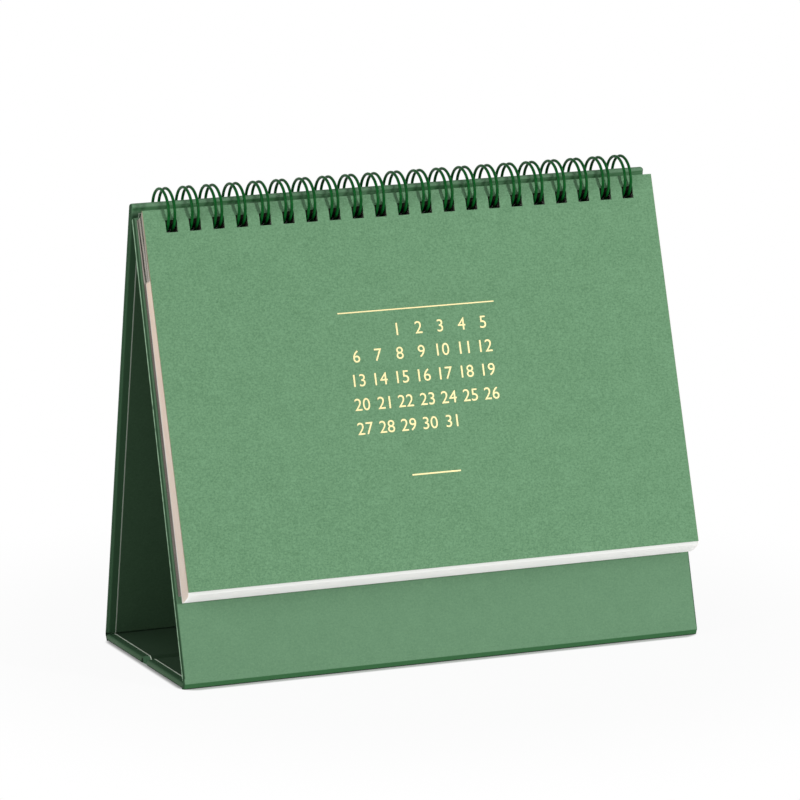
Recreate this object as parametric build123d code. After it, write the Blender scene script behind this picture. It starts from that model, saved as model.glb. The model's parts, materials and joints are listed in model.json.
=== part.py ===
"""Free-standing desk calendar: sheets on a twin-loop wire over a folding case-board tent.

Millimetres, +X along the width, +Y towards the back, +Z up.
The side view is worked out from the front bottom corner, then moved to the box's bottom centre.
"""
import os
from math import asin, atan2, cos, degrees, dist, hypot, pi, radians, sin, sqrt, tan

from build123d import *

# Driving sizes of the sheets
page_width = 189.0
page_height = 129.4
cover_height = 128.6
cover_thickness = 0.40
leaf_thickness = 0.30
leaf_count = 13
short_leaf_count = 4
short_leaf_cut = 2.6
sheet_pitch = 0.43
fan_angle = 1.9
rear_leaf_angle = 0.1

# Driving sizes of the stand
page_side_inset = 1.1
base_depth = 76.0
core_thickness = 1.8
paper_thickness = 0.2
turn_in = 3.0
crease_gap = 5.2
base_edge_inset = 1.75
panel_lift = 3.2
front_top_drop = 1.5
back_top_rise = 1.95
back_face_offset = 4.8
leaf_clearance = 0.25
strip_thickness = 0.3
strip_gap = 0.25
strip_knee_height = 2.1
strip_foot_inset = 1.5

# Driving sizes of the binding wire and its punched holes
loop_pitch = 8.467
row_end_margin = 8.0
ring_radius = 7.75
ring_setback = 44.6
ring_height = 154.5
ring_front_gap = 2.3
wire_diameter = 1.0
pair_spacing = 2.2
root_angle = 30.5
tip_angle = 387.0
root_bend = 1.0
wire_sides = 6
arc_facets = 14
tip_facets = 4
hole_width = 4.2
sheet_hole_height = 4.2
board_hole_height = 4.6
hole_below_top = 5.8
wire_below_top = 5.28
cut_overrun = 1.0

loop_count = int((page_width - 2 * row_end_margin) / loop_pitch) + 1
stand_width = page_width + 2 * page_side_inset
panel_thickness = core_thickness + 2 * paper_thickness
cover_offset = ring_radius - ring_front_gap


def side_plane(lean):
    """Plane through the ring's axis: local x is X, local y runs up a panel, local z faces the front."""
    normal = (0, -cos(lean), sin(lean))
    return Plane(origin=(0, ring_setback, ring_height), x_dir=(1, 0, 0), z_dir=normal)


def slab(plane, width, low, high, near, far):
    """Flat block in a panel's own plane, between two heights and two distances from the ring's axis."""
    centre = Pos(0, (low + high) / 2, (near + far) / 2)
    return plane.location * centre * Box(width, high - low, abs(far - near))


def punch(plane, centre_height, hole_height, near, far):
    """The row of punched holes that the wire's loops pass through."""
    row = Sketch() + GridLocations(loop_pitch, 0, loop_count, 1) * Rectangle(hole_width, hole_height)
    depth = abs(far - near) + 2 * cut_overrun
    start = Pos(0, centre_height, min(near, far) - cut_overrun)
    return plane.location * start * extrude(row, depth)


def case_board(plane, low, high, outer, inner, top_turn_in=0, hole_centre=None):
    """Greyboard core, the paper wrapped round it, and the lining between the turn-ins, down to the folds."""
    skin = paper_thickness if inner > outer else -paper_thickness
    block = slab(plane, stand_width, low, high, outer, inner)
    core = slab(
        plane,
        stand_width - 2 * paper_thickness,
        low + paper_thickness,
        high - paper_thickness,
        outer + skin,
        inner - skin,
    )
    lining = slab(plane, stand_width - 2 * turn_in, low, high - top_turn_in, inner - skin, inner)
    wrap = block - core - lining
    if hole_centre is None:
        return core, wrap, lining
    holes = punch(plane, hole_centre, board_hole_height, outer, inner)
    return core - holes, wrap - holes, lining - holes


def sheet(lean, offset, thickness, height):
    """One punched sheet, hung where the ring crosses its own plane."""
    plane = side_plane(lean)
    crossing = -sqrt(ring_radius**2 - offset**2)
    top = crossing + wire_below_top
    back = offset - thickness / 2
    front = offset + thickness / 2
    plate = slab(plane, page_width, top - height, top, back, front)
    return plate - punch(plane, top - hole_below_top, sheet_hole_height, back, front)


def wire_route(plane):
    """Corner points of the twin loops: up one side of a loop, round its tip, back, and on to the next."""

    def on_ring(x, angle):
        turn = radians(angle)
        return plane.from_local_coords((x, -ring_radius * cos(turn), -ring_radius * sin(turn)))

    half = pair_spacing / 2
    bend = degrees(root_bend / ring_radius)
    tip_reach = degrees(half / ring_radius)
    first = root_angle + bend
    last = tip_angle - tip_reach
    step = (last - first) / arc_facets
    route = []
    for number in range(loop_count):
        x = (number - (loop_count - 1) / 2) * loop_pitch
        if number > 0:
            route.append(on_ring(x - half - root_bend, root_angle))
        route += [on_ring(x - half, first + step * k) for k in range(arc_facets)]
        for k in range(tip_facets + 1):
            turn = pi * k / tip_facets
            route.append(on_ring(x - half * cos(turn), last + tip_reach * sin(turn)))
        route += [on_ring(x + half, last - step * k) for k in range(1, arc_facets + 1)]
        if number < loop_count - 1:
            route.append(on_ring(x + half + root_bend, root_angle))
    return route


def mitred_tube(route, radius, sides):
    """One unbroken tube of flat sides along a route, mitred where it turns."""
    along = [(b - a).normalized() for a, b in zip(route, route[1:])]
    start = Plane(origin=route[0], z_dir=along[0])
    ring = [
        start.from_local_coords((radius * cos(2 * pi * k / sides), radius * sin(2 * pi * k / sides), 0))
        for k in range(sides)
    ]
    faces = [Face(Wire.make_polygon(ring[::-1], close=True))]
    for number, direction in enumerate(along):
        end = route[number + 1]
        following = along[min(number + 1, len(along) - 1)]
        mitre = (direction + following).normalized()
        moved = [p + direction * ((end - p).dot(mitre) / direction.dot(mitre)) for p in ring]
        for k in range(sides):
            n = (k + 1) % sides
            faces.append(Face(Wire.make_polygon([ring[k], ring[n], moved[n], moved[k]], close=True)))
        ring = moved
    faces.append(Face(Wire.make_polygon(ring, close=True)))
    return Solid(Shell(faces))


def least_self_gap(route):
    """Least clear distance between stretches of the wire that are not neighbours along it."""
    points = []
    for a, b in zip(route, route[1:]):
        pieces = max(1, round((b - a).length / (wire_diameter / 2)))
        points += [a + (b - a) * (k / pieces) for k in range(pieces)]
    places = [(p.X, p.Y, p.Z) for p in points]
    travelled = [0.0]
    for a, b in zip(places, places[1:]):
        travelled.append(travelled[-1] + dist(a, b))
    nearest = loop_pitch
    for i, a in enumerate(places):
        for j in range(i + 1, len(places)):
            if abs(a[0] - places[j][0]) > loop_pitch:
                continue
            if travelled[j] - travelled[i] > 2 * pair_spacing:
                nearest = min(nearest, dist(a, places[j]))
    return nearest - wire_diameter


def edge_strip(corner, lean, backward):
    """Bent paper band round a bottom corner, from under the panel's edge to the base's edge."""
    upper = panel_lift - strip_gap
    outer = [
        (tan(lean) * upper, upper),
        (tan(lean) * strip_knee_height, strip_knee_height),
        (strip_foot_inset, 0),
        (base_edge_inset, 0),
    ]
    inner = [
        (base_edge_inset, strip_thickness),
        (strip_foot_inset + strip_thickness / 2, strip_thickness),
        (tan(lean) * strip_knee_height + strip_thickness, strip_knee_height),
        (tan(lean) * upper + strip_thickness, upper),
    ]
    points = [(corner + backward * y, z) for y, z in outer + inner]
    face = Plane.YZ * make_face(Polyline(*points, close=True))
    return extrude(face, stand_width / 2, both=True)


# Leans of the two panels, from the ring's place over the base's bottom corners
last_offset = cover_offset - leaf_count * sheet_pitch
front_face = last_offset - leaf_thickness / 2 - leaf_clearance
front_lean = atan2(ring_setback, ring_height) - asin(front_face / hypot(ring_setback, ring_height))
rear_setback = base_depth - ring_setback
back_lean = atan2(rear_setback, ring_height) - asin(back_face_offset / hypot(rear_setback, ring_height))
front_plane = side_plane(front_lean)
back_plane = side_plane(-back_lean)

parts = {}

# Front panel, whose outer face passes through the front bottom corner
front_inner = front_face - panel_thickness
front_low = panel_lift / cos(front_lean) - ring_setback * sin(front_lean) - ring_height * cos(front_lean)
front_holes = -(sqrt(ring_radius**2 - front_face**2) + sqrt(ring_radius**2 - front_inner**2)) / 2
front = case_board(front_plane, front_low, -front_top_drop, front_face, front_inner, turn_in, front_holes)
parts["front_board"], parts["front_wrap"], parts["front_lining"] = front

# Back panel, a little taller, leaning the other way
back_inner = panel_thickness - back_face_offset
back_low = panel_lift / cos(back_lean) - rear_setback * sin(back_lean) - ring_height * cos(back_lean)
back_holes = -(sqrt(ring_radius**2 - back_face_offset**2) + sqrt(ring_radius**2 - back_inner**2)) / 2
back = case_board(back_plane, back_low, back_top_rise, -back_face_offset, back_inner, turn_in, back_holes)
parts["back_board"], parts["back_wrap"], parts["back_lining"] = back

# Base in two halves, with the crease between them
floor = Plane(origin=(0, 0, 0), x_dir=(1, 0, 0), z_dir=(0, 0, 1))
half_depth = (base_depth - crease_gap) / 2
base_halves = {
    "base_front": (base_edge_inset, half_depth),
    "base_rear": (base_depth - half_depth, base_depth - base_edge_inset),
}
for name, (low, high) in base_halves.items():
    board, wrap, lining = case_board(floor, low, high, 0, panel_thickness)
    parts[name + "_board"] = board
    parts[name + "_wrap"] = wrap
    parts[name + "_lining"] = lining

# Paper that bridges the three folds
parts["front_hinge_strip"] = edge_strip(0, front_lean, 1)
parts["back_hinge_strip"] = edge_strip(base_depth, back_lean, -1)
parts["base_crease_strip"] = slab(
    floor, stand_width, half_depth, base_depth - half_depth, 0, strip_thickness
)

# Binding wire
route = wire_route(front_plane)
parts["binding_wire"] = mitred_tube(route, wire_diameter / 2, wire_sides)

# Cover and leaves, fanned a little from the ring down, the rearmost leaves cut shorter
for number in range(leaf_count + 1):
    share = 1 - number / leaf_count
    lean = front_lean + radians(rear_leaf_angle + fan_angle * share)
    offset = cover_offset - number * sheet_pitch
    if number == 0:
        parts["cover_sheet"] = sheet(lean, offset, cover_thickness, cover_height)
        continue
    is_short = number > leaf_count - short_leaf_count
    height = page_height - short_leaf_cut if is_short else page_height
    parts[f"leaf_{number:02d}"] = sheet(lean, offset, leaf_thickness, height)

# The frame's origin is the bottom centre of the whole box
boxes = [shape.bounding_box() for shape in parts.values()]
size_x = max(b.max.X for b in boxes) - min(b.min.X for b in boxes)
lowest_y = min(b.min.Y for b in boxes)
highest_y = max(b.max.Y for b in boxes)
floor_z = min(b.min.Z for b in boxes)
size_z = max(b.max.Z for b in boxes) - floor_z
middle_y = (lowest_y + highest_y) / 2
centred = Pos(0, -middle_y, -floor_z)

os.makedirs("parts", exist_ok=True)
for name, shape in parts.items():
    export_step(centred * shape, f"parts/{name}.step")

front_fold = (panel_thickness * tan(front_lean) + panel_thickness / cos(front_lean), panel_thickness)
back_fold = (
    base_depth - panel_thickness * tan(back_lean) - panel_thickness / cos(back_lean),
    panel_thickness,
)
for name, (y, z) in {
    "ring axis": (ring_setback, ring_height),
    "front fold": front_fold,
    "back fold": back_fold,
}.items():
    print(f"{name}: y {y - middle_y:.4f} z {z - floor_z:.4f}")
print(f"front lean {degrees(front_lean):.3f}, back lean {degrees(back_lean):.3f}")
print(f"size {size_x:.2f} x {highest_y - lowest_y:.2f} x {size_z:.2f}")
print(f"least gap of the wire to itself {least_self_gap(route):.3f}")
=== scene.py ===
"""Looks of a wire-bound desk calendar that hangs on a folded case-board stand.

Metres, in the part's own frame: +X along the width, +Y towards the back, +Z up.
"""
import json

import bpy
import numpy as np
from mathutils import Matrix, Vector


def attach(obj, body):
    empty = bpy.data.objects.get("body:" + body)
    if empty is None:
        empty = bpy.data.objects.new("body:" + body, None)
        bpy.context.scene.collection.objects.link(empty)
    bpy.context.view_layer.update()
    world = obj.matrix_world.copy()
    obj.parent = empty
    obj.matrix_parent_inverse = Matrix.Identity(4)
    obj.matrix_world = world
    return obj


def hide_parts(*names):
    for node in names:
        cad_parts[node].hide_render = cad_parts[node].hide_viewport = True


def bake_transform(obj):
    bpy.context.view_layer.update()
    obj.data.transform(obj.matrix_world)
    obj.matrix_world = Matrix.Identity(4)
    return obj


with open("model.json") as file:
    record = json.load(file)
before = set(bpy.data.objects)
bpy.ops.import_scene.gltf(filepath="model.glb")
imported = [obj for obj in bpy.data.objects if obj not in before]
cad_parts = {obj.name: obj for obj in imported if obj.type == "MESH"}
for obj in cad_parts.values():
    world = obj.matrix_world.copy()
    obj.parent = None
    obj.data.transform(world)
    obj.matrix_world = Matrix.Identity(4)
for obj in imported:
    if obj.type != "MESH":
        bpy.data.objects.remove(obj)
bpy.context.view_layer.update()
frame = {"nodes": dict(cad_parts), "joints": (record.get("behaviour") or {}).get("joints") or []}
nodes = frame["nodes"]
scene = bpy.context.scene

# Sizes of the stand
mm = 0.001
stand_width = 191.2 * mm
base_depth = 76.0 * mm
board_thickness = 2.2 * mm
panel_lift = 3.2 * mm
crease_gap = 5.2 * mm
crease_side_inset = 0.7 * mm
base_edge_inset = 1.75 * mm
turn_in = 3.0 * mm
front_top = -1.5 * mm
back_top = 1.95 * mm
back_face = -4.8 * mm
board_edge = 0.9 * mm
folded_edge = 0.12 * mm
lining_proud = 0.12 * mm
lining_margin = 0.5 * mm
band_knee = 2.1 * mm
band_foot = 1.5 * mm
band_tuck = 0.5 * mm
band_lap = 0.5 * mm
band_proud = 0.02 * mm
band_thickness = 0.28 * mm

# Sizes of the sheets
page_width = 189.0 * mm
print_centre = 64.6 * mm
leaf_count = 13
white_leaf_count = 9
cover_offset = 5.45 * mm
sheet_pitch = 0.43 * mm
leaf_thickness = 0.3 * mm
cover_thickness = 0.4 * mm
leaf_clearance = 0.25 * mm
ink_film = 0.015 * mm
fan_angle = np.radians(1.9)
rear_leaf_angle = np.radians(0.1)
# Painted shade on the leaves' cut sides starts this far up a leaf's plane from the ring's axis
bold_cut_start = -24.0 * mm

# Sizes of the wire and of its holes
ring_setback = 44.6 * mm
ring_radius = 7.75 * mm
wire_below_top = 5.28 * mm
round_ring_radius = 7.56 * mm
wire_radius = 0.5 * mm
pair_half = 1.1 * mm
root_bend = 1.0 * mm
root_angle = np.radians(30.5)
tip_angle = np.radians(387.0)
loop_count = 21
loop_pitch = 8.467 * mm
hole_width = 4.2 * mm
board_hole_height = 4.6 * mm
sheet_hole_height = 4.2 * mm
hole_below_top = 5.8 * mm
# Painted shade reaches this far above each leaf's holes
hole_shade_reach = 0.5 * mm

# Points along the curves
corner_points = 5
round_points = 6
crease_points = 13
quarter_round = np.radians(np.linspace(0, 90, round_points))

# Places and leans that follow from those sizes
ring_centre = np.array([j["pos_m"] for j in frame["joints"] if j["name"] == "cover_flip"][0])
ring_y = float(ring_centre[1])
ring_height = float(ring_centre[2])


def panel_lean(setback, offset):
    """Lean of a face that meets the floor setback before the ring and passes offset from its axis."""
    return np.arctan2(setback, ring_height) - np.arcsin(offset / np.hypot(setback, ring_height))


def panel_low(setback, lean):
    """Height of a panel's lower edge, panel_lift off the floor, along its plane from the ring."""
    return panel_lift / np.cos(lean) - setback * np.sin(lean) - ring_height * np.cos(lean)


front_corner = ring_y - ring_setback
rear_corner = front_corner + base_depth
rear_setback = base_depth - ring_setback
front_face = cover_offset - leaf_count * sheet_pitch - leaf_thickness / 2 - leaf_clearance
front_inner = front_face - board_thickness
back_inner = back_face + board_thickness
front_lean = panel_lean(ring_setback, front_face)
back_lean = panel_lean(-rear_setback, back_face)
front_low = panel_low(ring_setback, front_lean)
back_low = panel_low(-rear_setback, back_lean)
half_depth = (base_depth - crease_gap) / 2
hole_row = (np.arange(loop_count) - (loop_count - 1) / 2) * loop_pitch
hole_sides = np.sort(np.concatenate([hole_row - hole_width / 2, hole_row + hole_width / 2]))


def side_axes(lean):
    """Unit vectors of a leaning plane: up along it, and out of it towards the front."""
    up = np.array([0.0, np.sin(lean), np.cos(lean)])
    out = np.array([0.0, -np.cos(lean), np.sin(lean)])
    return up, out


def on_plane(lean, across, height, offset):
    """Points across along X, height up a plane and offset out of it, all from the ring's axis."""
    up, out = side_axes(lean)
    across, height, offset = np.broadcast_arrays(across, height, offset)
    along = np.stack([across, np.zeros_like(across), np.zeros_like(across)], axis=-1)
    return ring_centre + along + height[..., None] * up + offset[..., None] * out


def front_place(across, height, offset):
    """Points in the front panel's plane."""
    return on_plane(front_lean, across, height, offset)


def back_place(across, height, offset):
    """Points in the back panel's plane."""
    return on_plane(back_lean, across, height, offset)


def floor_place(across, depth, height):
    """Points over the floor, with depth counted from the front bottom corner."""
    across, depth, height = np.broadcast_arrays(across, depth, height)
    return np.stack([across, front_corner + depth, height], axis=-1)


def sheet_lean(number):
    """Lean of one sheet: the cover is 0, and the leaves fan back towards the front panel."""
    return front_lean + rear_leaf_angle + fan_angle * (1 - number / leaf_count)


def sheet_top(number):
    """Height of a sheet's top edge along its plane, wire_below_top over the ring's crossing."""
    offset = cover_offset - sheet_pitch * number
    return wire_below_top - np.sqrt(ring_radius**2 - offset**2)


# Mesh helpers

def grid_faces(rows, columns, wrap_columns=False):
    """Quads of a grid whose points are numbered row by row, each row closed where asked."""
    last = columns if wrap_columns else columns - 1
    i, j = np.meshgrid(np.arange(rows - 1), np.arange(last), indexing="ij")
    right = (j + 1) % columns
    this_row = i * columns
    next_row = (i + 1) * columns
    quads = [this_row + j, this_row + right, next_row + right, next_row + j]
    return np.stack(quads, axis=-1).reshape(-1, 4)


def joined(parts):
    """Several (points, faces) pairs as one pair."""
    points = []
    faces = []
    count = 0
    for part_points, part_faces in parts:
        part_points = np.asarray(part_points, float).reshape(-1, 3)
        points.append(part_points)
        faces += [tuple(int(k) + count for k in face) for face in part_faces]
        count += len(part_points)
    return np.concatenate(points), faces


def add_piece(name, points, faces, material, body, slot, smooth=False, chart=None):
    """Put points and faces into a mesh object at the origin, and let it ride on a body."""
    mesh = bpy.data.meshes.new(name)
    points = np.asarray(points, float).reshape(-1, 3)
    mesh.from_pydata(points.tolist(), [], [list(f) for f in faces])
    if chart is not None:
        layer = mesh.uv_layers.new(name="UVMap")
        corner = np.zeros(len(mesh.loops), np.int32)
        mesh.loops.foreach_get("vertex_index", corner)
        chart = np.asarray(chart, np.float32).reshape(-1, 2)
        layer.data.foreach_set("uv", chart[corner].ravel())
    mesh.polygons.foreach_set("use_smooth", np.full(len(mesh.polygons), smooth))
    mesh.materials.append(material)
    mesh.validate()
    mesh.update()
    piece = bpy.data.objects.new(name, mesh)
    scene.collection.objects.link(piece)
    if body is not None:
        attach(piece, body)
    return piece


# Shader maths

class Value:
    """A socket's value in a node tree, with operators that add Math nodes."""

    def __init__(self, tree, socket):
        self.tree = tree
        self.socket = socket

    def node(self, kind, settings=None, output=0, **inputs):
        """Any node: its type, its settings, which are set first, and its sockets' values or links.

        A socket goes by its name, or by i and its number.
        """
        made = self.tree.nodes.new(kind)
        for key, value in (settings or {}).items():
            setattr(made, key, value)
        for key, value in inputs.items():
            is_number = key[0] == "i" and key[1:].isdigit()
            self.feed(made.inputs[int(key[1:]) if is_number else key], value)
        return Value(self.tree, made.outputs[output] if len(made.outputs) else None)

    def feed(self, socket, value):
        """Link a value to a socket, or set the socket to a number, a colour or a vector."""
        if isinstance(value, Value):
            self.tree.links.new(value.socket, socket)
        else:
            socket.default_value = value

    def output(self, key):
        """Another output of the node that this value comes from."""
        return Value(self.tree, self.socket.node.outputs[key])

    def math(self, operation, other=0.0):
        """A Math node on this value and another."""
        return self.node("ShaderNodeMath", {"operation": operation}, i0=self, i1=other)

    def __add__(self, other):
        return self.math("ADD", other)

    def __radd__(self, other):
        return self.math("ADD", other)

    def __sub__(self, other):
        return self.math("SUBTRACT", other)

    def __rsub__(self, other):
        return self.node("ShaderNodeMath", {"operation": "SUBTRACT"}, i0=other, i1=self)

    def __mul__(self, other):
        return self.math("MULTIPLY", other)

    def __rmul__(self, other):
        return self.math("MULTIPLY", other)

    def __abs__(self):
        return self.math("ABSOLUTE")

    def above(self, edge, soft):
        """0 below edge, 1 above it, over a soft width to each side."""
        smooth = {"interpolation_type": "SMOOTHSTEP"}
        limits = {"From Min": edge - soft, "From Max": edge + soft}
        return self.node("ShaderNodeMapRange", smooth, Value=self, **limits)

    def below(self, edge, soft):
        """1 below edge, 0 above it, over a soft width to each side."""
        return 1 - self.above(edge, soft)

    def tint(self, low, high):
        """A colour that goes from low to high as this value goes from 0 to 1."""
        return self.node("ShaderNodeMix", {"data_type": "RGBA"}, 2, i0=self, i6=low, i7=high)


def srgb(red, green, blue):
    """Display colour from 0 to 255 as linear light."""
    c = np.array([red, green, blue]) / 255.0
    linear = np.where(c <= 0.04045, c / 12.92, ((c + 0.055) / 1.055) ** 2.4)
    return (*linear.tolist(), 1.0)


def new_tree(owner):
    """The emptied node tree of a material or of the world, as a value that adds nodes to it."""
    owner.use_nodes = True
    owner.node_tree.nodes.clear()
    return Value(owner.node_tree, None)


def new_material(name):
    """A material with one Principled shader, that shader, the Object coordinates and UV chart."""
    material = bpy.data.materials.new(name)
    start = new_tree(material)
    shader = start.node("ShaderNodeBsdfPrincipled")
    start.node("ShaderNodeOutputMaterial", Surface=shader)
    place = start.node("ShaderNodeTexCoord", output="Object")
    return material, shader, place, place.output("UV")


def plug(shader, **values):
    """Set a shader's sockets, by name with spaces as underscores, to numbers or to links."""
    for key, value in values.items():
        shader.feed(shader.socket.node.inputs[key.replace("_", " ")], value)


def grain(place, size, detail=3.0, roughness=0.6):
    """Noise from 0 to 1 with features of about this size."""
    noise = {"Scale": 1.0 / size, "Detail": detail, "Roughness": roughness}
    return place.node("ShaderNodeTexNoise", Vector=place, **noise)


def stretched(place, scale):
    """Coordinates multiplied along each axis: a noise on them is drawn out along the small ones."""
    return place.node("ShaderNodeMapping", Vector=place, Scale=scale)


def bump(height, depth):
    """A normal from a height value, where 1 stands for this depth in metres."""
    return height.node("ShaderNodeBump", Height=height, Distance=depth, Strength=1.0)


def split(vector):
    """The X, Y and Z values of a vector."""
    first = vector.node("ShaderNodeSeparateXYZ", Vector=vector)
    return first, first.output(1), first.output(2)


# Materials

def dyed_paper(name, light, dark, contrast, *trims):
    """Uncoated dyed paper: short fibres and soft blotches in its tone, a fine tooth, and trims.

    Each trim is a function and a colour. The function takes the Object coordinates and the UV
    chart, and gives 1 where that colour shows. The trims of the case and fold papers are painted
    shade, apart from one painted highlight; the cut edges are the paper's own colour.
    """
    speckle_share = 1.7
    hair_share = 0.7
    cloud_share = 0.35
    material, shader, place, chart = new_material(name)
    speckle = grain(place, 0.65 * mm, 4.0, 0.75)
    hairs = grain(stretched(place, (0.35, 1.0, 1.0)), 0.4 * mm, 2.0)
    cloud = grain(place, 7.0 * mm, 2.0)
    fibres = (speckle - 0.5) * speckle_share + (hairs - 0.5) * hair_share
    tone = fibres * contrast + (cloud - 0.5) * cloud_share + 0.5
    colour = tone.tint(dark, light)
    for mask, trim_colour in trims:
        colour = mask(place, chart).tint(colour, trim_colour)
    plug(shader, Base_Color=colour, Roughness=0.8 + (speckle - 0.5) * 0.2)
    plug(shader, Normal=bump(speckle, 0.05 * mm), Specular_IOR_Level=0.2)
    return material


def cut_side(place, chart):
    """1 on the left and right cut edges of a sheet."""
    across = split(place)[0]
    return abs(across).above(page_width / 2 - 0.05 * mm, 0.02 * mm)


def turned_side(place, chart):
    """Painted shade on a board's left and right rims: 1 where the chart's first value goes from 0 to
    1.
    """
    return split(chart)[0].above(0.4, 0.3)


def rubbed_line(place, chart):
    """Painted highlight: a pale line along the middle of a board's left and right rims, broken up by
    noise.
    """
    round_the_rim = split(chart)[1]
    line = round_the_rim.above(0.4, 0.03) * round_the_rim.below(0.72, 0.03)
    return line * grain(place, 2.5 * mm, 3.0).above(0.38, 0.3)


def lower_round(place, chart):
    """Painted shade on the rounds of a base board's left and right rims that turn under it: 1 there.
    """
    outwards, round_the_rim = split(chart)[:2]
    return outwards.above(0.3, 0.2) * round_the_rim.below(0.36, 0.1)


def shaded_turn_in(place, chart):
    """1 on a board's inner face below the ring, where the paper is turned in beside the lining."""
    return split(chart)[1].above(0.8, 0.1) * split(place)[2].below(ring_height - mm, mm)


def pressed_top(place, chart):
    """Painted shade over the inner face's turn-in above the ring, in streaks like creases in the
    turned paper, where the chart's second value is 1.
    """
    inner_face = split(chart)[1].above(0.9, 0.05)
    above_ring = (split(place)[2] - ring_height).above(-0.3 * mm, 0.7 * mm)
    streak = grain(stretched(place, (0.02, 1.0, 1.0)), 0.7 * mm, 3.0)
    return inner_face * above_ring * ((streak - 0.5) * 2.5 + 0.7)


def below_knee(place, chart):
    """Painted shade on the part of a fold that turns in under the panel, below the band's knee: 1
    there.
    """
    return split(place)[2].below(band_knee - 0.1 * mm, 0.15 * mm)


def foot_line(place, chart):
    """Painted shade on the lowest part of a fold, where it meets the floor: 1 there."""
    return split(place)[2].below(0.35 * mm, 0.15 * mm)


def band_end(place, chart):
    """Painted shade on the left and right ends of a fold's paper, where it turns in: 1 there."""
    return abs(split(place)[0]).above(stand_width / 2 - 0.35 * mm, 0.25 * mm)


def cut_line(place, chart):
    """1 along a lining's cut edge, from a chart of the distances to its sides and to its top."""
    to_side, to_top = split(chart)[:2]
    return to_side.math("MINIMUM", to_top).below(0.3 * mm, 0.1 * mm)


def greyboard():
    """Raw grey board in the punched holes: pressed fibres."""
    material, shader, place = new_material("greyboard")[:3]
    fibre = grain(place, 0.4 * mm, 4.0, 0.7)
    plug(shader, Base_Color=fibre.tint(srgb(70, 66, 60), srgb(120, 114, 104)), Roughness=0.9)
    plug(shader, Normal=bump(fibre, 0.05 * mm), Specular_IOR_Level=0.15)
    return material


def leaf_stock(number, light, dark, cut_light, cut_dark):
    """A leaf: faint fibres on its faces, lines along its cut sides, painted shade in and just above
    its holes.

    Over their top part the cut sides carry painted shade: greyer, with bolder lines.
    """
    material, shader, place, chart = new_material(f"leaf_paper_{number:02d}")
    across, depth, height = split(place)
    lean = float(sheet_lean(number))
    behind_ring = depth - ring_y
    over_ring = height - ring_height
    up_plane = behind_ring * np.sin(lean) + over_ring * np.cos(lean)
    out_of_plane = over_ring * np.sin(lean) - behind_ring * np.cos(lean)
    fibre = grain(place, 1.2 * mm, 4.0, 0.7)
    face = fibre.tint(dark, light)
    drawn_out = place.node("ShaderNodeCombineXYZ", i1=out_of_plane, i2=up_plane * 0.05)
    lines = grain(drawn_out, 1.3 * mm, 2.0) - 0.5
    plain_cut = (lines * 1.8 + 0.5).tint(cut_dark, cut_light)
    # Painted shade over the top part of the cut sides, with the lines drawn bolder
    shaded_top_cut = (lines * 6.0 + 0.5).tint(srgb(50, 46, 40), srgb(188, 182, 170))
    cut = up_plane.above(bold_cut_start, 0.5 * mm).tint(plain_cut, shaded_top_cut)
    # Painted shade in each hole and just above it, for the shade deep in the stack's holes
    hole_top = float(sheet_top(number) - hole_below_top + sheet_hole_height / 2)
    hole_low = hole_top - sheet_hole_height - 0.05 * mm
    in_row = up_plane.below(hole_top + hole_shade_reach, 0.05 * mm) * up_plane.above(hole_low, 0.02 * mm)
    in_row = in_row * abs(across).below(loop_count / 2 * loop_pitch, mm)
    column = abs((across * (1 / loop_pitch) + 0.5).math("FRACT") - 0.5) * loop_pitch
    hole = in_row * column.below(hole_width / 2 + 0.05 * mm, 0.02 * mm)
    colour = cut_side(place, chart).tint(face, cut)
    plug(shader, Base_Color=hole.tint(colour, srgb(46, 38, 34)), Roughness=0.85)
    plug(shader, Normal=bump(fibre, 0.02 * mm), Specular_IOR_Level=0.15)
    return material


def wire_enamel():
    """Dark green enamel on the wire, with a gloss and small uneven spots."""
    material, shader, place = new_material("wire_enamel")[:3]
    spot = grain(place, 1.5 * mm, 3.0)
    plug(shader, Base_Color=spot.tint(srgb(0, 54, 19), srgb(10, 104, 38)))
    plug(shader, Roughness=0.3 + (spot - 0.5) * 0.15, Normal=bump(spot, 0.015 * mm))
    plug(shader, Specular_IOR_Level=0.07)
    return material


def pale_foil():
    """Pale gold foil, pressed into the card: a little sheen, with tiny gaps in its tone."""
    material, shader, place = new_material("pale_foil")[:3]
    spot = grain(place, 0.5 * mm, 3.0)
    plug(shader, Base_Color=spot.tint(srgb(236, 212, 142), srgb(255, 240, 182)))
    plug(shader, Roughness=0.42 + (spot - 0.5) * 0.2, Normal=bump(spot, 0.01 * mm))
    plug(shader, Metallic=0.15)
    return material


def print_ink():
    """Grey-green printing ink on the leaves."""
    material, shader, place = new_material("print_ink")[:3]
    spot = grain(place, 0.4 * mm, 3.0)
    plug(shader, Base_Color=spot.tint(srgb(70, 92, 76), srgb(92, 116, 98)))
    plug(shader, Roughness=0.7 + (spot - 0.5) * 0.2)
    return material


# Papers of the cover and of the stand
card_contrast = 1.45
case_contrast = 0.8
card_green = (srgb(126, 171, 132), srgb(94, 137, 100))
case_green = (srgb(120, 161, 126), srgb(96, 136, 103))
# The crease paper is a darker copy of the case paper: painted shade in the crease.
crease_painted_shade_green = (srgb(70, 108, 78), srgb(52, 84, 60))
panel_lining_green = (srgb(71, 101, 74), srgb(53, 82, 57))
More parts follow.
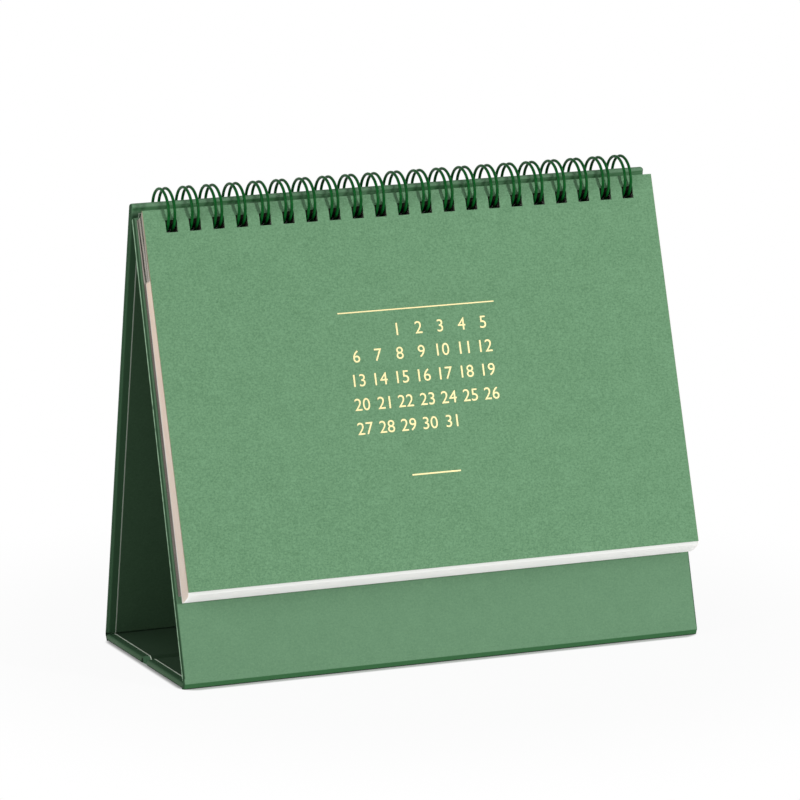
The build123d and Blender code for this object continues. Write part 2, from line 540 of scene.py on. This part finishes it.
# The base's lining is a darker copy of the panels' lining: painted shade.
base_lining_green = (srgb(52, 78, 55), srgb(38, 62, 42))
card_cut = (cut_side, srgb(160, 150, 122))
panel_lining_cut = (cut_line, srgb(176, 186, 172))
base_lining_cut = (cut_line, srgb(205, 214, 200))
front_trims = [
    # painted shade on the sides of the rims
    (turned_side, srgb(38, 70, 44)),
    # painted highlight along the middle of the rims
    (rubbed_line, srgb(156, 190, 158)),
]
back_trims = [
    # painted shade on the sides of the rims
    (turned_side, srgb(40, 70, 46)),
    # painted shade, in streaks, above the ring
    (pressed_top, srgb(58, 108, 66)),
    (shaded_turn_in, srgb(58, 92, 64)),
]
base_trims = [
    # painted shade on the sides of the rims
    (turned_side, srgb(68, 94, 70)),
    (shaded_turn_in, srgb(54, 88, 60)),
    # painted shade under the base's rims
    (lower_round, srgb(26, 38, 28)),
]
fold_trims = [
    # painted shade where the fold turns under
    (below_knee, srgb(62, 112, 70)),
    # painted shade where the fold meets the floor
    (foot_line, srgb(36, 48, 38)),
    # painted shade on the fold's ends
    (band_end, srgb(38, 70, 44)),
]
card = dyed_paper("cover_card", *card_green, card_contrast, card_cut)
front_paper = dyed_paper("front_paper", *case_green, case_contrast, *front_trims)
back_paper = dyed_paper("back_paper", *case_green, case_contrast, *back_trims)
base_paper = dyed_paper("base_paper", *case_green, case_contrast, *base_trims)
fold_paper = dyed_paper("fold_paper", *case_green, case_contrast, *fold_trims)
crease_painted_shade_paper = dyed_paper("crease_painted_shade_paper", *crease_painted_shade_green, case_contrast)
panel_lining = dyed_paper("panel_lining", *panel_lining_green, case_contrast, panel_lining_cut)
base_lining = dyed_paper("base_lining", *base_lining_green, case_contrast, base_lining_cut)
raw_board = greyboard()
enamel = wire_enamel()
foil = pale_foil()
ink = print_ink()


# Stand

def hole_lines(hole_centre):
    """Places of the holes' edges, across a board and along it: none on a board without holes."""
    if hole_centre is None:
        return [], []
    return hole_sides, [hole_centre - board_hole_height / 2, hole_centre + board_hole_height / 2]


def board_skin(place, low, high, outer, inner, low_edge, high_edge, hole_centre=None):
    """Paper-wrapped board as one skin, and its chart.

    Each broad face is a grid whose lines run along the hole edges, with the hole cells left out.
    The rim is a quarter-round profile carried round the face's border: at angle t it stands
    sin(t) edges out and 1 - cos(t) edges in from the face. Folded ends have a much smaller edge
    along the board.
    The chart's first value is 0 on the faces and goes to 1 at the outermost line of the left and
    right rims. Its second value goes from 0 on the outer face, round those rims, to 1 on the
    inner face.
    """
    half = stand_width / 2
    middle = (outer + inner) / 2
    side = abs(outer - inner) / 2
    sign = 1 if outer > inner else -1
    low_line = low + low_edge
    high_line = high - high_edge

    # Faces
    across_lines, along_lines = hole_lines(hole_centre)
    columns = np.array([board_edge - half, *across_lines, half - board_edge])
    rows = np.array([low_line, *along_lines, high_line])
    across, height = np.meshgrid(columns, rows)
    cells = grid_faces(len(rows), len(columns))
    cell_row, cell_column = np.divmod(np.arange(len(cells)), len(columns) - 1)
    cells = cells[~((cell_row == 1) & (cell_column % 2 == 1))]
    outer_face = (place(across, height, outer), cells[:, ::sign])
    inner_face = (place(across, height, inner), cells[:, ::-sign])

    # Rim
    corner_turn = np.linspace(0, 90, corner_points)
    heading = np.radians(np.array([180, 270, 0, 90])[:, None] + corner_turn).ravel()
    border_x = np.repeat(np.array([-1, 1, 1, -1]) * (half - board_edge), corner_points)
    border_y = np.repeat([low_line, low_line, high_line, high_line], corner_points)
    end_edge = np.repeat([low_edge, low_edge, high_edge, high_edge], corner_points)
    reach = np.sin(quarter_round)
    reach = np.concatenate([reach, reach[::-1]])[:, None]
    rise = side - board_edge * (1 - np.cos(quarter_round))
    rise = np.concatenate([rise, -rise[::-1]])[:, None]
    rim_x = border_x + board_edge * reach * np.cos(heading)
    rim_y = border_y + end_edge * reach * np.sin(heading)
    rim_z = middle + sign * rise + np.zeros_like(rim_x)
    rim_faces = grid_faces(len(reach), len(heading), True)
    rim = (place(rim_x, rim_y, rim_z), rim_faces[:, ::-sign])

    # Chart
    face_chart = np.zeros((2 * across.size, 2))
    face_chart[across.size:, 1] = 1.0
    sideways = np.abs(np.cos(heading))
    round_the_rim = np.linspace(0, 1, len(reach))[:, None]
    rim_chart = np.stack([reach * sideways, round_the_rim * sideways], axis=-1).reshape(-1, 2)
    points, faces = joined([outer_face, inner_face, rim])
    return points, faces, np.concatenate([face_chart, rim_chart])


def hole_walls(place, outer, inner, hole_centre):
    """Four walls of each punched hole through a board: a square of points on each face, joined."""
    corner = np.array([[-1, -1], [1, -1], [1, 1], [-1, 1]]) / 2
    wall_x = hole_row[:, None, None] + corner[:, 0] * hole_width + np.zeros((1, 2, 1))
    wall_y = hole_centre + corner[:, 1] * board_hole_height + np.zeros((loop_count, 2, 1))
    wall_z = np.array([outer, inner])[None, :, None] + np.zeros((loop_count, 2, 4))
    first_point = np.arange(loop_count) * 2 * len(corner)
    faces = (first_point[:, None, None] + grid_faces(2, len(corner), True)).reshape(-1, 4)
    return place(wall_x, wall_y, wall_z), faces if outer > inner else faces[:, ::-1]


def lining_sheet(place, low, high, inner, proud, cut_top, hole_centre=None):
    """Lining between the turn-ins: a plate proud of the board, charted by the distance to its cuts.

    It runs to the folds at its ends, and stops turn_in short of the sides and of a cut top.
    """
    half = stand_width / 2 - turn_in
    top = high - turn_in if cut_top else high
    turn = 1 if proud > 0 else -1
    across_lines, along_lines = hole_lines(hole_centre)
    columns = np.array([-half, lining_margin - half, *across_lines, half - lining_margin, half])
    rows = np.sort(np.array([low, *along_lines, top - lining_margin, top]))
    across, height = np.meshgrid(columns, rows)
    cells = grid_faces(len(rows), len(columns))
    if hole_centre is not None:
        cell_row, cell_column = np.divmod(np.arange(len(cells)), len(columns) - 1)
        middle_x = (columns[cell_column] + columns[cell_column + 1]) / 2
        middle_y = (rows[cell_row] + rows[cell_row + 1]) / 2
        in_column = np.min(np.abs(middle_x[:, None] - hole_row), axis=1) < hole_width / 2
        in_row = np.abs(middle_y - hole_centre) < board_hole_height / 2
        cells = cells[~(in_column & in_row)]
    face = (place(across, height, inner + proud), cells[:, ::turn])
    border = np.concatenate([
        np.arange(len(columns)),
        np.arange(1, len(rows)) * len(columns) + len(columns) - 1,
        len(columns) * (len(rows) - 1) + np.arange(len(columns) - 2, -1, -1),
        np.arange(len(rows) - 2, 0, -1) * len(columns),
    ])
    rim_x = np.stack([across.ravel()[border]] * 2)
    rim_y = np.stack([height.ravel()[border]] * 2)
    rim_z = np.array([[inner], [inner + proud]]) + np.zeros_like(rim_x)
    rim_faces = grid_faces(2, len(border), True)
    rim = (place(rim_x, rim_y, rim_z), rim_faces[:, ::turn])
    to_side = half - np.abs(across)
    to_top = top - height if cut_top else np.full_like(height, turn_in)
    chart = np.stack([to_side.ravel(), to_top.ravel()], axis=-1)
    points, faces = joined([face, rim])
    return points, faces, np.concatenate([chart, chart[border], chart[border]])


def crossing(outer, inner):
    """Mean height at which the ring passes through a board."""
    at_outer = np.sqrt(ring_radius**2 - outer**2)
    at_inner = np.sqrt(ring_radius**2 - inner**2)
    return -(at_outer + at_inner) / 2


# Each board's lower and upper end, outer face and inner face
front_span = (front_low, front_top, front_face, front_inner)
back_span = (back_low, back_top, back_face, back_inner)
front_half = (base_edge_inset, half_depth, 0.0, board_thickness)
rear_half = (base_depth - half_depth, base_depth - base_edge_inset, 0.0, board_thickness)
boards = {
    "front": ("stand_front", front_paper, front_place, front_span),
    "back": ("stand_back", back_paper, back_place, back_span),
    "base_front": ("base_front", base_paper, floor_place, front_half),
    "base_rear": ("base_rear", base_paper, floor_place, rear_half),
}
for name, (body, paper, place, (low, high, outer, inner)) in boards.items():
    is_panel = place is not floor_place
    holes = crossing(outer, inner) if is_panel else None
    high_edge = board_edge if is_panel else folded_edge
    points, faces, chart = board_skin(place, low, high, outer, inner, folded_edge, high_edge, holes)
    case = add_piece(name + "_case", points, faces, paper, body, "green_wrap", True, chart)
    if is_panel:
        points, faces = hole_walls(place, outer, inner, holes)
        walls = add_piece(name + "_hole_walls", points, faces, raw_board, body, "greyboard")
        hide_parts(name + "_board")
        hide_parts(name + "_wrap")
    else:
        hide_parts(name + "_wrap", name + "_board")
    proud = lining_proud if inner > outer else -lining_proud
    points, faces, chart = lining_sheet(place, low, high, inner, proud, is_panel, holes)
    green = panel_lining if is_panel else base_lining
    sheet = name + "_lining_sheet"
    lining = add_piece(sheet, points, faces, green, body, "green_lining", False, chart)
    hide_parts(name + "_lining")


# Paper at the folds

def carried(depth, height, stations, inset, start, forward):
    """Closed skin of a profile carried along X and capped at both ends.

    depth and height go round the profile, each station sets it back by its inset, and depth runs
    along Y from start, forward being 1 towards the back and -1 towards the front.
    """
    count = len(depth)
    points = np.zeros((len(stations), count, 3))
    points[..., 0] = stations[:, None]
    points[..., 1] = start + forward * (depth + inset[:, None])
    points[..., 2] = height
    faces = [tuple(f) for f in grid_faces(len(stations), count, True)]
    faces.append(tuple(range(count - 1, -1, -1)))
    faces.append(tuple(range((len(stations) - 1) * count, len(stations) * count)))
    return points, faces if forward > 0 else [f[::-1] for f in faces]


def fold_band(corner, forward, lean):
    """Paper band round a bottom corner.

    Its path starts a little up the panel's face, goes straight down it to the knee, in to the foot
    and under the base. A running mean rounds the path's corners, and the band lies between the
    path and its copy one thickness further in. Towards the ends it turns in along a quarter round,
    as the panel's sides do.
    """
    path_points = 48
    mean_reach = 3
    slope = np.tan(abs(lean))
    start = panel_lift + band_lap
    knots = np.array([
        [slope * start - band_proud, start],
        [slope * band_knee - band_proud, band_knee],
        [band_foot, 0.0],
        [band_foot + band_tuck, 0.0],
    ])
    runs = np.linalg.norm(np.diff(knots, axis=0), axis=1)
    travelled = np.concatenate([[0.0], np.cumsum(runs)])
    s = np.linspace(0, travelled[-1], path_points)
    path = np.stack([np.interp(s, travelled, column) for column in knots.T], axis=-1)
    beyond = ((mean_reach, mean_reach), (0, 0))
    padded = np.pad(path, beyond, mode="reflect", reflect_type="odd")
    window = np.lib.stride_tricks.sliding_window_view(padded, 2 * mean_reach + 1, axis=0)
    outer = window.mean(axis=-1)
    step = np.gradient(outer, axis=0)
    step /= np.linalg.norm(step, axis=1)[:, None]
    inner = outer + band_thickness * np.stack([-step[:, 1], step[:, 0]], axis=-1)
    depth, height = np.concatenate([outer, inner[::-1]]).T
    end = stand_width / 2 - board_edge + board_edge * np.sin(quarter_round)
    back = board_edge * (1 - np.cos(quarter_round))
    stations = np.concatenate([-end[::-1], end])
    inset = np.concatenate([back[::-1], back])
    return carried(depth, np.maximum(height, 0.0), stations, inset, corner, forward)


for name, corner, forward, lean, base, panel in (
    ("front", front_corner, 1, front_lean, "base_front", "stand_front"),
    ("back", rear_corner, -1, back_lean, "base_rear", "stand_back"),
):
    points, faces = fold_band(corner, forward, lean)
    band = add_piece(name + "_fold_band", points, faces, fold_paper, None, "green_wrap", True)
    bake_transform(band)
    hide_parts(name + "_hinge_strip")


def crease_half(edge_depth, forward):
    """Half of the paper over the base's crease: the wrap below, with its filling, and the lining.

    Between a board's edge at s = 0 and the fold at s = 1, the underside rises as the square of s
    and the top dips as half a cosine wave. The lining has its own chart.
    """
    s = np.linspace(0, 1, crease_points)
    lowest = 0.02 * mm
    fold_bottom = 0.28 * mm
    fold_top = 0.6 * mm
    depth = crease_gap / 2 * s
    under = lowest + (fold_bottom - lowest) * s**2
    over = fold_top + (board_thickness - fold_top) * (1 + np.cos(np.pi * s)) / 2
    start = front_corner + edge_depth
    around = np.concatenate([depth, depth[::-1]])
    wrap_height = np.concatenate([under, over[::-1]])
    wide = np.array([-1.0, 0.0, 1.0]) * (stand_width / 2 - crease_side_inset)
    wrap = carried(around, wrap_height, wide, np.zeros(len(wide)), start, forward)
    half = stand_width / 2 - turn_in
    lining_height = np.concatenate([over, over[::-1] + lining_proud])
    narrow = np.array([-half, lining_margin - half, half - lining_margin, half])
    lining = carried(around, lining_height, narrow, np.zeros(len(narrow)), start, forward)
    to_side = np.repeat(half - np.abs(narrow), len(around))
    return wrap, lining, np.stack([to_side, np.full_like(to_side, turn_in)], axis=-1)


for name, edge_depth, forward, body in (
    ("crease_front", half_depth, 1, "base_front"),
    ("crease_rear", base_depth - half_depth, -1, "base_rear"),
):
    wrap, lining, chart = crease_half(edge_depth, forward)
    half_wrap = add_piece(name + "_half", *wrap, crease_painted_shade_paper, body, "green_wrap", True)
    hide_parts("base_crease_strip")
    add_piece(name + "_lining", *lining, base_lining, body, "green_lining", True, chart)


# Binding wire

def binding_wire():
    """One round wire on a cylinder about the ring's axis.

    A loop goes up one leg at constant x, round a half circle at its tip, down the other leg, and
    through two quarter bends along x to the next loop. The section is a circle on the cylinder's
    radius and on tangent x radius.
    """
    leg_points = 40
    tip_points = 13
    bend_points = 6
    section_points = 12
    bend = root_bend / round_ring_radius
    reach = pair_half / round_ring_radius
    first = root_angle + bend
    last = tip_angle - reach
    leg = np.linspace(first, last, leg_points)
    tip = np.linspace(0, np.pi, tip_points)[1:-1]
    quarter = np.linspace(0, np.pi / 2, bend_points)[1:]
    across = np.concatenate([
        -pair_half - root_bend * (1 - np.cos(quarter[::-1])),
        np.full_like(leg, -pair_half),
        -pair_half * np.cos(tip),
        np.full_like(leg, pair_half),
        pair_half + root_bend * (1 - np.cos(quarter)),
    ])
    angle = np.concatenate([
        first - bend * np.sin(quarter[::-1]),
        leg,
        last + reach * np.sin(tip),
        leg[::-1],
        first - bend * np.sin(quarter),
    ])
    x = (hole_row[:, None] + across).ravel()[len(quarter):-len(quarter)]
    a = np.tile(angle, loop_count)[len(quarter):-len(quarter)]
    up, out = side_axes(front_lean)
    radius = -np.cos(a)[:, None] * up - np.sin(a)[:, None] * out
    centre = ring_centre + round_ring_radius * radius
    centre[:, 0] += x
    tangent = np.gradient(centre, axis=0)
    tangent /= np.linalg.norm(tangent, axis=1)[:, None]
    sideways = np.cross(tangent, radius)
    sideways /= np.linalg.norm(sideways, axis=1)[:, None]
    turn = np.linspace(0, 2 * np.pi, section_points, endpoint=False)
    section = np.cos(turn)[:, None] * radius[:, None] + np.sin(turn)[:, None] * sideways[:, None]
    points = centre[:, None] + wire_radius * section
    faces = [tuple(f) for f in grid_faces(len(centre), section_points, True)[:, ::-1]]
    count = len(centre) * section_points
    faces.append(tuple(range(section_points)))
    faces.append(tuple(range(count - 1, count - section_points - 1, -1)))
    return points, faces


points, faces = binding_wire()
wire = add_piece("binding_wire_round", points, faces, enamel, "stand_front", "green_wire", True)
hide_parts("binding_wire")


# Sheets

def figure(number):
    """Flat outline of a plain number, one unit high, about its own centre: points and faces."""
    curve = bpy.data.curves.new("figure", "FONT")
    curve.body = str(number)
    curve.align_x = "CENTER"
    curve.resolution_u = 4
    holder = bpy.data.objects.new("figure", curve)
    scene.collection.objects.link(holder)
    bpy.context.view_layer.update()
    graph = bpy.context.evaluated_depsgraph_get()
    mesh = bpy.data.meshes.new_from_object(holder.evaluated_get(graph))
    flat = np.zeros(len(mesh.vertices) * 3)
    mesh.vertices.foreach_get("co", flat)
    flat = flat.reshape(-1, 3)[:, :2]
    faces = [tuple(p.vertices) for p in mesh.polygons]
    bpy.data.objects.remove(holder)
    bpy.data.curves.remove(curve)
    bpy.data.meshes.remove(mesh)
    height = np.ptp(flat[:, 1])
    middle = (flat.min(0) + flat.max(0)) / 2
    return (flat - middle) / height, faces


def bar(x0, x1, y0, y1):
    """A plain flat rule."""
    return np.array([[x0, y0], [x1, y0], [x1, y1], [x0, y1]]), [(0, 1, 2, 3)]


def day_numbers(days, first_column, left, top, pitch_x, pitch_y, size):
    """A month's numbers in seven columns, filled row by row from a first column."""
    shapes = []
    for day in range(1, days + 1):
        row, column = divmod(day - 1 + first_column, week_days)
        flat, faces = figures[day]
        shapes.append((flat * size + [left + column * pitch_x, top - row * pitch_y], faces))
    return shapes


def stamp(name, shapes, number, body, material, slot):
    """Flat shapes laid on a sheet's front as one piece, from print_centre below its top edge."""
    parts = [(np.column_stack([flat, np.zeros(len(flat))]), faces) for flat, faces in shapes]
    points, faces = joined(parts)
    thickness = leaf_thickness if number else cover_thickness
    out = cover_offset - sheet_pitch * number + thickness / 2 + ink_film
    height = sheet_top(number) - print_centre + points[:, 1]
    points = on_plane(sheet_lean(number), points[:, 0], height, out)
    return add_piece(name, points, faces, material, body, slot)


def cover_grid():
    """The cover's printing: a month's numbers between two thin rules."""
    left = -24.0 * mm
    top = 18.0 * mm
    step_x = 8.0 * mm
    step_y = 8.2 * mm
    day_height = 4.2 * mm
    long_rule = bar(-29 * mm, 29 * mm, 24.6 * mm, 25.0 * mm)
    short_rule = bar(-9 * mm, 9 * mm, -32.2 * mm, -31.7 * mm)
    numbers = day_numbers(month_days[0], year_start, left, top, step_x, step_y, day_height)
    return numbers + [long_rule, short_rule]


def month_grid(number):
    """A leaf's printing: ruled boxes in seven columns and six rows, with a month's numbers.

    A leaf after the last month has no numbers.
    """
    left = -66 * mm
    top = 22 * mm
    step_x = 22 * mm
    step_y = 14.5 * mm
    rule = 0.25 * mm
    month_height = 11 * mm
    month_lift = 18 * mm
    day_height = 4 * mm
    day_shift = 6.5 * mm
    day_lift = 3 * mm
    edge_x = left - step_x / 2
    edge_y = top + step_y / 2
    end_x = edge_x + week_days * step_x
    end_y = edge_y - box_rows * step_y
    rule_y = edge_y - step_y * np.arange(box_rows + 1)
    rule_x = edge_x + step_x * np.arange(week_days + 1)
    shapes = [bar(edge_x, end_x, y, y + rule) for y in rule_y]
    shapes += [bar(x, x + rule, end_y, edge_y) for x in rule_x]
    if number <= len(month_days):
        flat, faces = figures[number]
        shapes.append((flat * month_height + [left, top + month_lift], faces))
        days = month_days[number - 1]
        first_column = (year_start + sum(month_days[: number - 1])) % week_days
        first_x = left - day_shift
        first_y = top + day_lift
        shapes += day_numbers(days, first_column, first_x, first_y, step_x, step_y, day_height)
    return shapes


week_days = 7
box_rows = 6
year_start = 2
month_days = (31, 28, 31, 30, 31, 30, 31, 31, 30, 31, 30, 31)
figures = {n: figure(n) for n in range(1, max(month_days) + 1)}
stamp("cover_foil_numbers", cover_grid(), 0, "cover", foil, "cover_card")
nodes["cover_sheet"].data.materials.clear()
nodes["cover_sheet"].data.materials.append(card)
white_faces = (srgb(255, 255, 254), srgb(251, 250, 247))
grey_faces = (srgb(212, 205, 198), srgb(184, 176, 169))
cream_cut = (srgb(255, 236, 216), srgb(246, 216, 196))
bright_cut = (srgb(255, 252, 246), srgb(226, 216, 206))
grey_cut = (srgb(128, 118, 110), srgb(76, 68, 62))
for number in range(1, leaf_count + 1):
    name = f"leaf_{number:02d}"
    leaf_faces = white_faces if number <= white_leaf_count else grey_faces
    if number < white_leaf_count:
        leaf_cut = cream_cut
    elif number == white_leaf_count:
        leaf_cut = bright_cut
    else:
        leaf_cut = grey_cut
    nodes[name].data.materials.clear()
    nodes[name].data.materials.append(leaf_stock(number, *leaf_faces, *leaf_cut))
    stamp(name + "_print", month_grid(number), number, name, ink, "leaf_paper")


# Floor, light and camera

def seen_directly(start):
    """1 for rays that show the backdrop: from the camera, off a gloss or through a clear piece."""
    camera_ray = start.node("ShaderNodeLightPath", output="Is Camera Ray")
    glossy_ray = camera_ray.output("Is Glossy Ray")
    through_ray = camera_ray.output("Is Transmission Ray")
    return camera_ray.math("MAXIMUM", glossy_ray).math("MAXIMUM", through_ray)


def pale_floor():
    """White floor that shows the shadow most where the base meets it, and less further out.

    The contact line follows the distance outside a rectangle of the base's size with rounded
    corners: the root of the squares of each side's distance plus the corner's radius, none of them
    below 0, less that radius.
    """
    near_white = 0.94
    white_start = 0.16
    white_fade = 0.06
    contact_reach = 0.9 * mm
    contact_loss = 0.85
    corner = 6.0 * mm
    material = bpy.data.materials.new("pale_floor")
    start = new_tree(material)
    matte = start.node("ShaderNodeBsdfDiffuse", Color=(0.9, 0.9, 0.9, 1.0))
    glow = start.node("ShaderNodeEmission", Color=(1.0, 1.0, 1.0, 1.0))
    place = start.node("ShaderNodeTexCoord", output="Object")
    across, depth = split(place)[:2]
    beside = abs(across) - stand_width / 2
    before = abs(depth - (front_corner + base_depth / 2)) - base_depth / 2
    side_reach = (beside + corner).math("MAXIMUM", 0.0)
    end_reach = (before + corner).math("MAXIMUM", 0.0)
    outside = (side_reach * side_reach + end_reach * end_reach).math("SQRT") - corner
    contact = outside.below(contact_reach, contact_reach)
    distance = place.node("ShaderNodeVectorMath", {"operation": "LENGTH"}, 1, i0=place)
    far_white = distance.above(white_start, white_fade) * (1 - near_white)
    share = seen_directly(start) * (near_white + far_white - contact * contact_loss)
    mixed = start.node("ShaderNodeMixShader", i0=share, i1=matte, i2=glow)
    start.node("ShaderNodeOutputMaterial", Surface=mixed)
    return material


floor_points = np.array([[-1.0, -1.0, 0.0], [1.0, -1.0, 0.0], [1.0, 1.0, 0.0], [-1.0, 1.0, 0.0]])
add_piece("floor", floor_points, [(0, 1, 2, 3)], pale_floor(), None, None)

ambient = 0.27
world = bpy.data.worlds.new("studio")
scene.world = world
start = new_tree(world)
strength = ambient + seen_directly(start) * (1 - ambient)
sky = start.node("ShaderNodeBackground", Color=(1.0, 1.0, 1.0, 1.0), Strength=strength)
start.node("ShaderNodeOutputWorld", Surface=sky)


def soft_lamp(name, place, target, size, power):
    """Square soft lamp at a place, aimed at a target."""
    lamp = bpy.data.lights.new(name, "AREA")
    lamp.shape = "SQUARE"
    lamp.size = size
    lamp.energy = power
    holder = bpy.data.objects.new(name, lamp)
    holder.location = place
    holder.rotation_euler = (Vector(target) - Vector(place)).to_track_quat("-Z", "Y").to_euler()
    scene.collection.objects.link(holder)


middle = (0.0, 0.0, 0.08)
soft_lamp("key_lamp", (1.15, -1.5, 0.5), middle, size=0.22, power=21.0)
soft_lamp("side_lamp", (-1.6, -0.4, 0.4), middle, size=0.9, power=15.5)

lens = bpy.data.cameras.new("camera")
lens.sensor_width = 36.0
lens.lens = 256.04
lens.clip_start = 0.1
lens.clip_end = 20.0
camera = bpy.data.objects.new("camera", lens)
eye = Vector((-0.7651, -1.7487, 0.4862))
aim = Vector((-0.0002, 0.0024, 0.0836))
roll = np.radians(0.075)
turned = (aim - eye).to_track_quat("-Z", "Y").to_matrix().to_4x4()
camera.matrix_world = Matrix.Translation(eye) @ turned @ Matrix.Rotation(roll, 4, "Z")
scene.collection.objects.link(camera)
scene.camera = camera
scene.view_settings.view_transform = "Standard"
